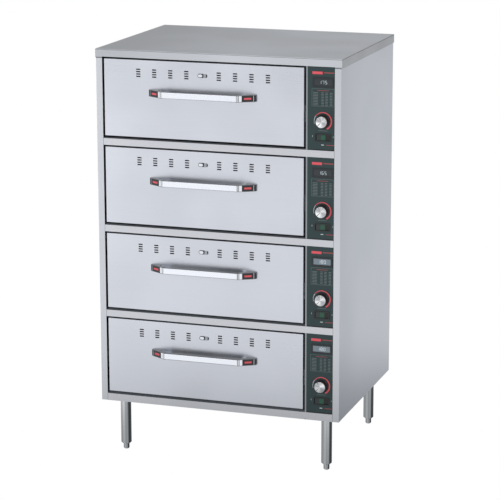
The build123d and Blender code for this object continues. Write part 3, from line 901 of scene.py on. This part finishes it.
# Rocker switches: a black moulded housing clipped into each sheet, and a black rocker that tips in it.
# The rocker has a green lens in its middle, and painted shade makes it darker at its right.
housing_colour = (0.014, 0.015, 0.016)
rocker_colour = (0.012, 0.013, 0.014)
rocker_left = (0.022, 0.036, 0.036)
rocker_right_shade = (0.002, 0.002, 0.003)
green_dark = (0.005, 0.065, 0.035)
green_light = (0.010, 0.115, 0.062)
lens_scale = 500.0
lens_left = -6.0
lens_right = 7.0

dress(satin("switch_black", housing_colour, roughness=0.3), "switch_housings")
rocker_low, rocker_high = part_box("rocker_1")
rocker_x = (rocker_low[0] + rocker_high[0]) / 2
lens_start = rocker_x + lens_left * mm
lens_end = rocker_x + lens_right * mm
rocker_finish, nodes = paint("rocker_with_lens", Roughness=0.22)
across = nodes.along("x")
lens = (across > lens_start) * (across < lens_end)
green = nodes.mix(nodes.noise(nodes.place(), lens_scale), green_dark, green_light)
nodes.feed(Base_Color=nodes.mix(lens, rocker_colour, green))
tint(rocker_finish, rocker_left, share=0.8, x=(-far, lens_start))
# Painted shade: the rocker's right end is darker.
tint(rocker_finish, rocker_right_shade, share=0.9, x=(lens_end, far))
dress(rocker_finish, *[f"rocker_{n}" for n in numbers])


# Knobs: a black moulding with a skirt and a fluted grip, pushed onto the thermostat's spindle, and a
# turned metal cap with bright and dark wedges and streaks painted into its colour as its reflections.
# The pointer line is dark.
knob_colour = (0.010, 0.011, 0.012)
pointer_colour = (0.02, 0.02, 0.022)
cap_dark = (0.34, 0.36, 0.38)
cap_bright = (1.0, 1.0, 1.0)
wedge_turn = 50.0
wedge_pairs = 2.0
wedge_edge = -0.9
wedge_share = 0.35
wedge_low = 0.25
cap_streak_scale = 5.0
tone_low = 0.45
tone_high = 0.95
knob_segments = 96
knob_flutes = 24
flute_depth = 0.35
knob_sink = 0.5
skirt_edge = 1.4
skirt_slope = 1.6
skirt_height = 3.6
grip_radii = (17.2, 16.8, 16.4)
grip_shoulder = 1.8
grip_face = 0.9
cap_radius = 16.1
cap_seat = 0.95
cap_rim = 0.5
cap_chamfer = 0.5
cap_proud = 0.25
pointer_start = 2.5
pointer_end = 15.4
pointer_wide = 1.3
pointer_turn = -225.0
pointer_front = 0.1
pointer_back = 0.9

knob_black = satin("knob_black", knob_colour, roughness=0.35)
pointer_black = satin("pointer_black", pointer_colour, roughness=0.5)
cap_finish, nodes = paint("turned_cap", Metallic=1.0, Roughness=0.28)
# Painted reflections: bright and dark wedges and streaks round the cap, set by angle.
angle = nodes.math("ARCTAN2", nodes.along("z"), nodes.along("x"))
wedge = nodes.math("COSINE", (angle - math.radians(wedge_turn)) * wedge_pairs)
wedge = nodes.ramp(wedge, wedge_edge, 1.0, wedge_low, 1.0)
circle = {0: nodes.math("SINE", angle), 1: nodes.math("COSINE", angle)}
cap_streaks = nodes.noise(nodes.add("ShaderNodeCombineXYZ", circle), cap_streak_scale, 4.0)
tone = nodes.ramp(wedge * wedge_share + cap_streaks, tone_low, tone_high)
nodes.feed(Base_Color=nodes.mix(tone, cap_dark, cap_bright))


def lathe(shape, profile, flutes=0, depth=0.0):
    """Turn a profile of radius and Y about the Y axis, in millimetres, and close both ends."""
    rings = []
    for radius, y in profile:
        ring = []
        for step in range(knob_segments):
            turn = 2 * math.pi * step / knob_segments
            bite = depth * (0.5 + 0.5 * math.cos(flutes * turn)) if flutes else 0.0
            cut = (radius - bite) * mm
            ring.append(shape.verts.new((cut * math.cos(turn), y * mm, cut * math.sin(turn))))
        rings.append(ring)
    for first, second in zip(rings, rings[1:]):
        for step in range(knob_segments):
            after = (step + 1) % knob_segments
            shape.faces.new((first[step], first[after], second[after], second[step]))
    shape.faces.new(rings[0])
    shape.faces.new(rings[-1][::-1])


for n in numbers:
    low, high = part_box(f"knob_{n}")
    centre = Vector(((low[0] + high[0]) / 2, low[1], (low[2] + high[2]) / 2))
    back = (panel_face - centre.y) / mm - knob_sink
    skirt = (high[0] - low[0]) / 2 / mm
    grip_ends = (back - skirt_height, grip_shoulder, grip_face)
    skirt_profile = [(skirt, back), (skirt, back - skirt_edge), (skirt - skirt_slope, grip_ends[0])]
    moulding = bmesh.new()
    lathe(moulding, skirt_profile)
    lathe(moulding, list(zip(grip_radii, grip_ends)), knob_flutes, flute_depth)
    cap = bmesh.new()
    cap_face = (cap_radius - cap_chamfer, cap_proud)
    lathe(cap, [(cap_radius, cap_seat), (cap_radius, cap_rim), cap_face])
    pointer = bmesh.new()
    swing = Matrix.Rotation(math.radians(pointer_turn), 4, "Y")
    pointer_run = (pointer_start * mm, pointer_end * mm)
    pointer_depth = (pointer_front * mm, pointer_back * mm)
    wide = pointer_wide / 2 * mm
    add_block(pointer, *pointer_run, *pointer_depth, -wide, wide, swing)
    body = f"dial_{n}"
    pieces = [
        new_piece(f"knob_moulding_{n}", moulding, knob_black, body),
        new_piece(f"knob_cap_{n}", cap, cap_finish, body),
        new_piece(f"knob_pointer_{n}", pointer, pointer_black, body, smooth=False),
    ]
    for piece in pieces:
        piece.location = centre
    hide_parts(f"knob_{n}")
